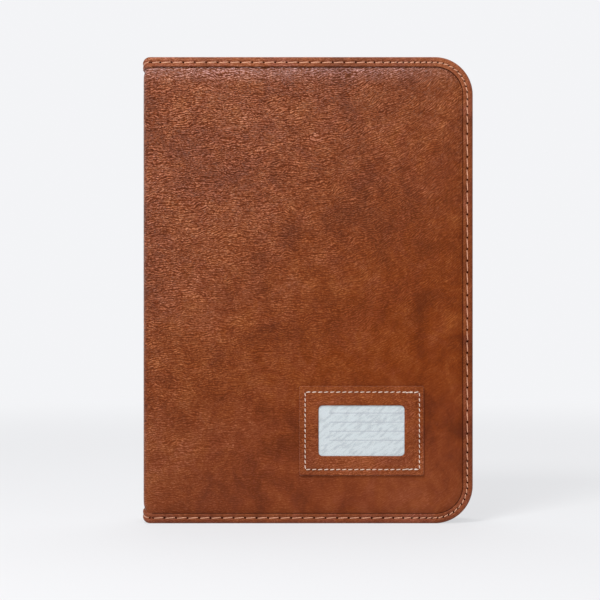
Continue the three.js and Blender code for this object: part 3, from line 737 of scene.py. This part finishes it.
def stitch_pitch(x, z):
    """Long stitches along the edges, which shorten towards the round corners."""
    near = min(z, HEIGHT - z)
    if near > CORNER_RADIUS:
        away = (near - CORNER_RADIUS) / SIDE_GROWTH
    else:
        short = HEAD_SHORT if z > HEIGHT / 2 else FOOT_SHORT
        away = max(0, FORE_EDGE - CORNER_RADIUS - x - short) / END_GROWTH
    return LEAST_PITCH + MORE_PITCH * min(1, away)


def needle_holes():
    """The stations of the needle holes, each a whole stitch after the last, up to the spine."""
    holes = []
    due = FIRST_HOLE
    for x, z, _, way in STATIONS:
        if way >= due:
            holes.append((x, z, way))
            due = way + stitch_pitch(x, z)
    x, z, _, way = STATIONS[-2]
    if way - holes[-1][2] > LEAST_STITCH:
        holes.append((x, z, way))
    return holes


HOLES = needle_holes()


def cover_binding(name, node, body):
    low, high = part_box(node)
    middle = (low.y + high.y) / 2
    ways = [way for _, _, way in HOLES]
    loops = []
    for x, z, out, way in STATIONS:
        dx, dz = math.cos(out), math.sin(out)
        edge_x, edge_z = x + STITCH_INSET * dx, z + STITCH_INSET * dz
        section = binding_section(pull_at(way, ways))
        loops.append([(edge_x - u * dx, middle + v, edge_z - u * dz) for u, v in section])
    piece = make(name, *sweep(loops), BINDING, body, "binding")
    paint_lips(piece, len(loops[0]))
    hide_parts(node)


# Stitches. Each is a short thread whose ends dive into the leather, with a needle hole, a dark disc of
# painted shade, between two
STITCH_SIDES = 8
STITCH_RINGS = 8
SEAM_DEPTH = 0.3 * MM  # how far the thread's middle lies under the binding's face
SAME_HOLE = 0.3 * MM
HOLE_SHAPE = ((0.04 * MM, 0.2), (0.07 * MM, 0.8), (0.0, 1.0), (-0.3 * MM, 0.5))
TURNS = [2 * math.pi * i / STITCH_SIDES for i in range(STITCH_SIDES)]


def along_rail(rail, t):
    """The point and the normal at share t of a rail of (point, normal) pairs."""
    at = t * (len(rail) - 1)
    k = min(int(at), len(rail) - 2)
    (a, m), (b, n) = rail[k], rail[k + 1]
    return Vector(a).lerp(Vector(b), at - k), Vector(m).lerp(Vector(n), at - k).normalized()


def stitch_loops(rail, radius, share, slant, rise):
    """Rings of points round a stitch, which is thick in the middle and slants across its rail."""
    ways = [(math.cos(a), math.sin(a)) for a in TURNS]
    loops = []
    for k in range(STITCH_RINGS + 1):
        t = k / STITCH_RINGS
        at = (1 - share) / 2 + share * t
        place, normal = along_rail(rail, at)
        ahead, _ = along_rail(rail, min(1, at + 0.02))
        behind, _ = along_rail(rail, max(0, at - 0.02))
        across = (ahead - behind).normalized().cross(normal)
        swell = math.sin(math.pi * (0.04 + 0.92 * t))
        middle = place + normal * rise * (swell**0.5 - 0.7) + across * slant * (1 - 2 * t)
        wide = radius * (0.45 + 0.55 * swell**0.6)
        high = wide * 0.8
        loops.append([middle + across * c * wide + normal * s * high for c, s in ways])
    return loops


def hole_loops(place, normal, size):
    """Rings of points of a needle hole, from its middle over its rim into the leather."""
    normal = Vector(normal)
    first = Vector((0, 0, 1)).cross(normal).normalized()
    second = normal.cross(first)
    loops = []
    for depth, part in HOLE_SHAPE:
        middle, reach = Vector(place) + normal * depth, size * part
        loops.append([middle + (first * math.cos(a) + second * math.sin(a)) * reach for a in TURNS])
    return loops


# A seam's sizes: the thread's radius, the part of its rail that a stitch takes up, how far it
# slants across the rail, the needle hole's radius, and how high the stitch rises
EDGE_SEAM = (0.38 * MM, 0.8, 0.3 * MM, 0.64 * MM, 0.35 * MM)
FRAME_SEAM = (0.33 * MM, 0.68, 0.2 * MM, 0.3 * MM, 0.25 * MM)


def seam(name, rails, material, body, sizes=EDGE_SEAM):
    """A stitch along each rail and a needle hole, a dark disc of painted shade, at the rails' ends."""
    radius, share, slant, hole, rise = sizes
    thread_points, thread_faces, hole_points, hole_faces = [], [], [], []
    places = [rails[0][0]] + [rail[-1] for rail in rails] + [rail[0] for rail in rails[1:]]
    seen = []
    for rail in rails:
        points, faces = sweep(stitch_loops(rail, radius, share, slant, rise))
        thread_faces += [tuple(i + len(thread_points) for i in face) for face in faces]
        thread_points += points
    for place, normal in places:
        if any((Vector(place) - other).length < SAME_HOLE for other in seen[-3:]):
            continue
        seen.append(Vector(place))
        points, faces = sweep(hole_loops(place, normal, hole))
        hole_faces += [tuple(i + len(hole_points) for i in face) for face in faces]
        hole_points += points
    threads = make(name, thread_points, thread_faces, material, body)
    holes = make(name + "_holes", hole_points, hole_faces, NEEDLE_HOLE_SHADE, body)
    return threads, holes


def straight_rails(places, normal):
    """A rail between each two places that follow each other."""
    return [[(a, normal), (b, normal)] for a, b in zip(places, places[1:])]


def cover_seams(prefix, node, body):
    low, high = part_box(node)
    for end, y, way in (("near", low.y + SEAM_DEPTH, -1), ("far", high.y - SEAM_DEPTH, 1)):
        rails = straight_rails([(x, y, z) for x, z, _ in HOLES], (0, way, 0))
        seam(f"{prefix}_seam_{end}", rails, TAN_THREAD, body)


def cover_leather(name, node, side, body):
    low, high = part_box(node)
    outer, inner = (low.y, high.y) if side < 0 else (high.y, low.y)
    inset = HEIGHT - high.z
    front, back = [], []
    for z in cover_rows(inset):
        right = outline_right(z, inset)
        xs = [low.x + (right - low.x) * k / COVER_COLUMNS for k in range(COVER_COLUMNS)] + [right]
        front.append([(x, outer + side * cover_relief(x, z), z) for x in xs])
        back.append([(x, inner, z) for x in xs])
    piece = make(name, *slab(front, back), LEATHER, body, "leather")
    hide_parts(node)


cover_leather("front_cover_leather", "front_leather", -1, "front_cover")
cover_leather("back_cover_leather", "back_leather", 1, "back_cover")
cover_binding("front_cover_binding", "front_binding", "front_cover")
cover_binding("back_cover_binding", "back_binding", "back_cover")
cover_seams("front", "front_binding", "front_cover")
cover_seams("back", "back_binding", "back_cover")


# Card frame. Its section runs over the rim and the face to the window's edge. Each point has how
# far it lies in from the outline, or out from the window, and how deep under the face, in millimetres
FRAME_RIM = ((0.0, 0.55), (0.12, 0.25), (0.45, 0.06), (1.0, 0.0))
FRAME_FACE = ((3.6, 0.12), (4.5, 0.28), (5.4, 0.1), (7.0, 0.0))
FRAME_WINDOW = ((2.2, 0.0), (0.8, 0.1), (0.2, 0.35), (0.0, 0.7))
FRAME_CORNER = 1.2 * MM
FRAME_COUNT = 220
THREAD_DEPTH = 0.16 * MM
TUCKED = 4 * MM  # how far the frame's back reaches out under its face
SEAM_INSET, SEAM_RIGHT_INSET = 4.5 * MM, 3.4 * MM
STITCH_ACROSS, STITCH_UPWARD = 4.7 * MM, 3.9 * MM
DOUBLED, DOUBLED_PITCH, DOUBLED_INSET = 4, 3.1 * MM, 0.35 * MM


def rounded_loop(width, height, radius, middle, steps=8):
    """Points round a rectangle with round corners, in x and z, with extra points on its sides."""
    corners = ((1, -1, -math.pi / 2), (1, 1, 0), (-1, 1, math.pi / 2), (-1, -1, math.pi))
    points = []
    for sx, sz, turn in corners:
        cx = middle[0] + sx * (width / 2 - radius)
        cz = middle[1] + sz * (height / 2 - radius)
        for k in range(steps + 1):
            a = turn + math.pi / 2 * k / steps
            points.append((cx + radius * math.cos(a), cz + radius * math.sin(a)))
    dense = []
    for a, b in zip(points, points[1:] + points[:1]):
        parts = max(1, round(math.dist(a, b) / (3 * MM)))
        for k in range(parts):
            dense.append((a[0] + (b[0] - a[0]) * k / parts, a[1] + (b[1] - a[1]) * k / parts))
    return dense


def resampled(loop, count):
    """The loop with the given number of points, evenly spaced from its first one."""
    total = sum(math.dist(a, b) for a, b in zip(loop, loop[1:] + loop[:1]))
    out, travelled, i = [], 0.0, 0
    for k in range(count):
        goal = total * k / count
        while travelled + math.dist(loop[i], loop[(i + 1) % len(loop)]) < goal:
            travelled += math.dist(loop[i], loop[(i + 1) % len(loop)])
            i += 1
        a, b = loop[i], loop[(i + 1) % len(loop)]
        t = (goal - travelled) / math.dist(a, b)
        out.append((a[0] + (b[0] - a[0]) * t, a[1] + (b[1] - a[1]) * t))
    return out


def card_frame():
    """The sewn frame with its stitches, doubled at the right where the seam starts and ends."""
    middle = ((FRAME_LOW.x + FRAME_HIGH.x) / 2, (FRAME_LOW.z + FRAME_HIGH.z) / 2)
    width, height = FRAME_HIGH.x - FRAME_LOW.x, FRAME_HIGH.z - FRAME_LOW.z
    top, film = FRAME_LOW.y, FILM_LOW.y
    cover = LEATHER_LOW.y - 0.02 * MM

    def ring(inset, y):
        return y, rounded_loop(width - 2 * inset, height - 2 * inset, FRAME_CORNER, middle)

    def window(outset, y):
        wide, high = APERTURE[0] + 2 * outset, APERTURE[1] + 2 * outset
        return y, rounded_loop(wide, high, APERTURE_RADIUS + outset, middle)

    sections = [ring(0.0, cover)]
    sections += [ring(inset * MM, top + deep * MM) for inset, deep in FRAME_RIM + FRAME_FACE]
    sections += [window(outset * MM, top + deep * MM) for outset, deep in FRAME_WINDOW]
    sections += [window(0.0, film - 0.02 * MM), window(TUCKED, film - 0.03 * MM)]
    loops = [[(x, y, z) for x, z in resampled(loop, FRAME_COUNT)] for y, loop in sections]
    skin = sweep(loops, closed=True)
    piece = make("card_pocket_frame", *skin, FRAME_SKIN, "front_cover", "card_frame")
    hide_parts("card_frame")

    left, right = FRAME_LOW.x + SEAM_INSET, FRAME_HIGH.x - SEAM_RIGHT_INSET
    foot, head = FRAME_LOW.z + SEAM_INSET, FRAME_HIGH.z - SEAM_INSET
    across, upward = spaced(left, right, STITCH_ACROSS), spaced(foot, head, STITCH_UPWARD)
    y = top + THREAD_DEPTH
    lines = [[(x, foot) for x in across], [(right, z) for z in upward]]
    lines += [[(x, head) for x in reversed(across)], [(left, z) for z in reversed(upward)]]
    for z in (foot + DOUBLED_INSET, head - DOUBLED_INSET):
        lines.append([(right - (0.5 + k) * DOUBLED_PITCH, z) for k in range(DOUBLED)])
    rails = []
    for line in lines:
        rails += straight_rails([(x, y, z) for x, z in line], (0, -1, 0))
    seam("frame_seam", rails, PALE_THREAD, "front_cover", FRAME_SEAM)


FILM_STEP = 1.6 * MM
FILM_THICK = 0.2 * MM
FILM_RIPPLE = 0.03 * MM


def window_film():
    """The clear film, flat where the frame holds it and slightly rippled in the window."""
    xs, zs = spaced(FILM_LOW.x, FILM_HIGH.x, FILM_STEP), spaced(FILM_LOW.z, FILM_HIGH.z, FILM_STEP)
    rng = random.Random(7)
    waves = [(rng.uniform(250, 520), rng.uniform(0.5, 1.1), rng.uniform(0, 6.28)) for _ in range(5)]

    def ripple(x, z):
        inside = min(x - FILM_LOW.x, FILM_HIGH.x - x, z - FILM_LOW.z, FILM_HIGH.z - z)
        fade = min(1, max(0, inside - 11 * MM) / (6 * MM))
        heights = (math.sin(k * (x * math.cos(a) + z * math.sin(a)) + p) for k, a, p in waves)
        return fade * sum(heights)

    front = [[(x, FILM_LOW.y - FILM_RIPPLE * ripple(x, z), z) for x in xs] for z in zs]
    back = [[(x, y + FILM_THICK, z) for x, y, z in row] for row in front]
    piece = make("window_film", *slab(front, back), FILM, "front_cover", "film")
    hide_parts("card_window")


card_frame()
window_film()


# Spine and its leather rolls
SPINE_FULLNESS = 0.45 * MM
SPINE_FIRST_HOLE = 1.5 * MM
SPINE_PITCH = 8 * MM
ROLL_STEPS = 24
ROLL_RAIL = 8
ROLL_THICK = 1.65 * MM
TONGUE_THICK = 0.9 * MM
TONGUE = (1.6 * MM, 0.9 * MM, 0.25 * MM)


def spine_leather():
    ys, zs = spaced(SPINE_LOW.y, SPINE_HIGH.y, 1.5 * MM), spaced(SPINE_LOW.z, SPINE_HIGH.z, 3 * MM)

    def relief(z):
        near = min(z - SPINE_LOW.z, SPINE_HIGH.z - z) - BINDING_WIDTH
        return SPINE_FULLNESS * (1 - hump(near, FULL_WIDTH)) - ROLL_PINCH * hump(near, PINCH_WIDTH)

    front = [[(SPINE_LOW.x - relief(z), y, z) for y in ys] for z in zs]
    back = [[(SPINE_HIGH.x, y, z) for y in ys] for z in zs]
    piece = make("spine_panel_leather", *slab(front, back), LEATHER, "spine", "leather")
    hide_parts("spine_leather")


def spine_binding(name, node, inward, edge):
    low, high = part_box(node)
    middle = (low.x + high.x) / 2
    holes = spaced(low.y + SPINE_FIRST_HOLE, high.y - SPINE_FIRST_HOLE, SPINE_PITCH)
    loops = []
    for y in spaced(low.y, high.y, 1 * MM):
        section = binding_section(pull_at(y, holes))
        loops.append([(middle + v, y, edge + inward * u) for u, v in section])
    piece = make(name, *sweep(loops), BINDING, "spine", "binding")
    paint_lips(piece, len(loops[0]))
    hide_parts(node)
    z = edge + inward * STITCH_INSET
    for end, x, way in (("far", low.x + SEAM_DEPTH, -1), ("near", high.x - SEAM_DEPTH, 1)):
        rails = straight_rails([(x, y, z) for y in holes], (way, 0, 0))
        seam(f"{name}_seam_{end}", rails, TAN_THREAD, "spine")


def roll_short(a):
    """How far the roll's ends stand inside the covers' edges, at angle a from the spine."""
    return SPINE_SHORT * (1 - math.sin(a))


def roll_section(short, pull, lift, fullness):
    """The roll in section, as radius and height, with the folded strip at head and foot."""
    outside = HINGE_RADIUS + PROUD
    skin = [(outside - (v + BINDING_HALF), u) for u, v in folded_skin(pull)]
    foot = [(r, short + u) for r, u in reversed(skin)]
    head = [(r, HEIGHT - short - u) for r, u in skin]
    low, high = short + BINDING_WIDTH, HEIGHT - short - BINDING_WIDTH
    web = []
    for z in spaced(low + 0.2 * MM, high - 0.2 * MM, 4 * MM):
        near = min(z - low, high - z)
        pinch = ROLL_PINCH * hump(near, PINCH_WIDTH)
        full = fullness * (1 - hump(near, FULL_WIDTH))
        web.append((HINGE_RADIUS - pinch + full + lift * math.sin(70 * z), z))
    inside = HINGE_RADIUS - ROLL_THICK
    return foot + web + head + [(inside, high), (inside, low)]


def hinge_roll(name, node, side):
    """The skin round a corner of the spine. A thin tongue at each end tucks under what it joins."""
    low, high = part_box(node)
    centre_y = high.y - HINGE_RADIUS - PROUD if side > 0 else low.y + HINGE_RADIUS + PROUD
    loops = []
    places = [(0.0, reach) for reach in TONGUE]
    places += [(math.pi / 2 * k / ROLL_STEPS, 0.0) for k in range(ROLL_STEPS + 1)]
    places += [(math.pi / 2, reach) for reach in reversed(TONGUE)]
    for a, reach in places:
        turned = a / (math.pi / 2)
        pull = hump(min(turned, 1 - turned) * 9, 1.2)
        lift = 0.1 * MM * math.sin(math.pi * turned)
        loop = []
        fullness = SPINE_FULLNESS * math.cos(a) ** 2
        for r, z in roll_section(roll_short(a), pull, lift, fullness):
            if reach:
                r = max(r, HINGE_RADIUS - TONGUE_THICK) - 0.03 * reach
                z += 0.05 * MM if z < HEIGHT / 2 else -0.05 * MM
            x = COVER_START - r * math.cos(a) + reach * math.sin(a)
            y = centre_y + side * (r * math.sin(a) - reach * math.cos(a))
            loop.append((x, y, z))
        loops.append(loop)
    piece = make(name, *sweep(loops), LEATHER, None, "leather")
    piece.data.materials.append(BINDING)
    for face in piece.data.polygons:
        if min(face.center.z, HEIGHT - face.center.z) < SPINE_SHORT / 2 + BINDING_WIDTH - 0.5 * MM:
            face.material_index = 1
    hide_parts(node)
    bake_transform(piece)
    radius = HINGE_RADIUS + PROUD - SEAM_DEPTH
    rails = []
    for way in (1, -1):
        rail = []
        for k in range(ROLL_RAIL + 1):
            a = math.pi / 2 * (0.03 + 0.94 * k / ROLL_RAIL)
            inset = roll_short(a) + STITCH_INSET
            out = (-math.cos(a), side * math.sin(a), 0)
            z = inset if way > 0 else HEIGHT - inset
            rail.append(((COVER_START + radius * out[0], centre_y + radius * out[1], z), out))
        rails.append(rail)
    for piece in seam(name + "_seam", rails, TAN_THREAD, None):
        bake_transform(piece)


spine_leather()
spine_binding("spine_foot_binding", "spine_binding_bottom", 1, SPINE_FOOT_LOW.z)
spine_binding("spine_head_binding", "spine_binding_top", -1, SPINE_HEAD_HIGH.z)
hinge_roll("front_leather_roll", "front_hinge_leather", -1)
hinge_roll("back_leather_roll", "back_hinge_leather", 1)


# Finishes of the CAD nodes that stay visible
def dress(names, material):
    for name in names:
        node = nodes[name]
        node.data.materials.clear()
        node.data.materials.append(material)


dress([n for n in nodes if n.endswith("_board")], BOARD)
dress([n for n in nodes if n.endswith("_lining")], LINING)
for part in ("_ring_", "blade", "lever", "rivet", "ring_cover_plate"):
    dress([n for n in nodes if part in n], STEEL)
dress([n for n in nodes if "_sleeve_" in n], SLEEVE)
dress(["name_card"], CARD)

bpy.context.scene.view_settings.view_transform = "Standard"
